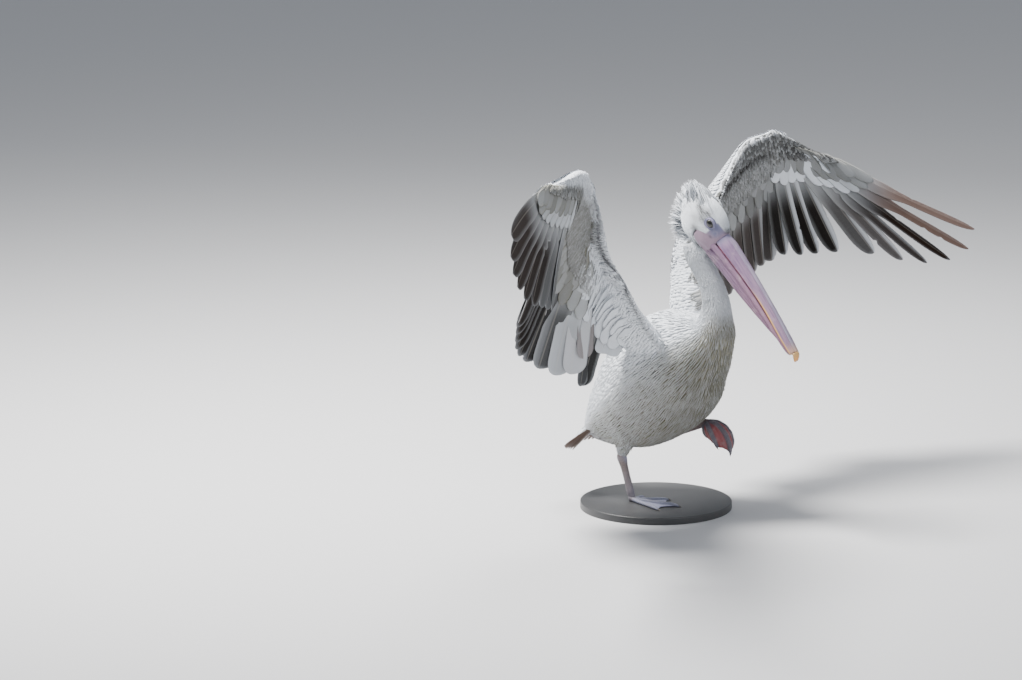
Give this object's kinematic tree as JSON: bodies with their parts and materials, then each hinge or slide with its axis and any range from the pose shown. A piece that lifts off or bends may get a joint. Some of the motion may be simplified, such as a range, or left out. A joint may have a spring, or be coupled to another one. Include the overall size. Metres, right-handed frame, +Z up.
{
  "type": "pelican",
  "caption": "Life-size pelican standing on one webbed foot with both wings raised and its head turned to the right, on a plain round display base.",
  "frame": {"origin": "centre of the underside of the round base, which rests on the floor", "axes": "+Z up, +X the way the bird faces, +Y to the bird's left"},
  "size_m": [0.6923, 2.1925, 0.9271],
  "materials": {
    "plumage": "cool white feathers with grey-olive shading on breast and flanks, loose and matt",
    "primary_feather": "blackish-brown vanes with paler grey bases and pale shafts",
    "secondary_feather": "grey vanes, darker towards the tips, with white fringes",
    "tail_feather": "brownish cream vanes",
    "bill": "pink-mauve horn, satin, with a dark red gape line and a yellow edge towards the tip",
    "nail": "orange-yellow horn, polished",
    "pouch": "thin bare skin, pinkish grey, slightly moist",
    "eye": "dark glossy eye",
    "leg": "scaly skin, pinkish grey on the leg and blue-grey on the foot, satin",
    "stand": "plain dark satin paint"
  },
  "bodies": {
    "root": {"trunk": "plumage", "neck_lower": "plumage", "neck_middle": "plumage", "neck_upper": "plumage", "head": "plumage", "crest": "plumage", "eye_left": "eye", "eye_right": "eye", "bill_upper": "bill", "bill_nail": "nail", "bill_lower": "bill", "pouch": "pouch", "upper_arm_right": "plumage", "forearm_right": "plumage", "hand_right": "plumage", "secondaries_right": "secondary_feather", "primaries_right": "primary_feather", "upper_arm_left": "plumage", "forearm_left": "plumage", "hand_left": "plumage", "secondaries_left": "secondary_feather", "primaries_left": "primary_feather", "tail": "tail_feather", "shank_right": "plumage", "foot_right": "leg", "shank_left": "plumage", "foot_left": "leg", "stand_base": "stand"}
  },
  "joints": []
}
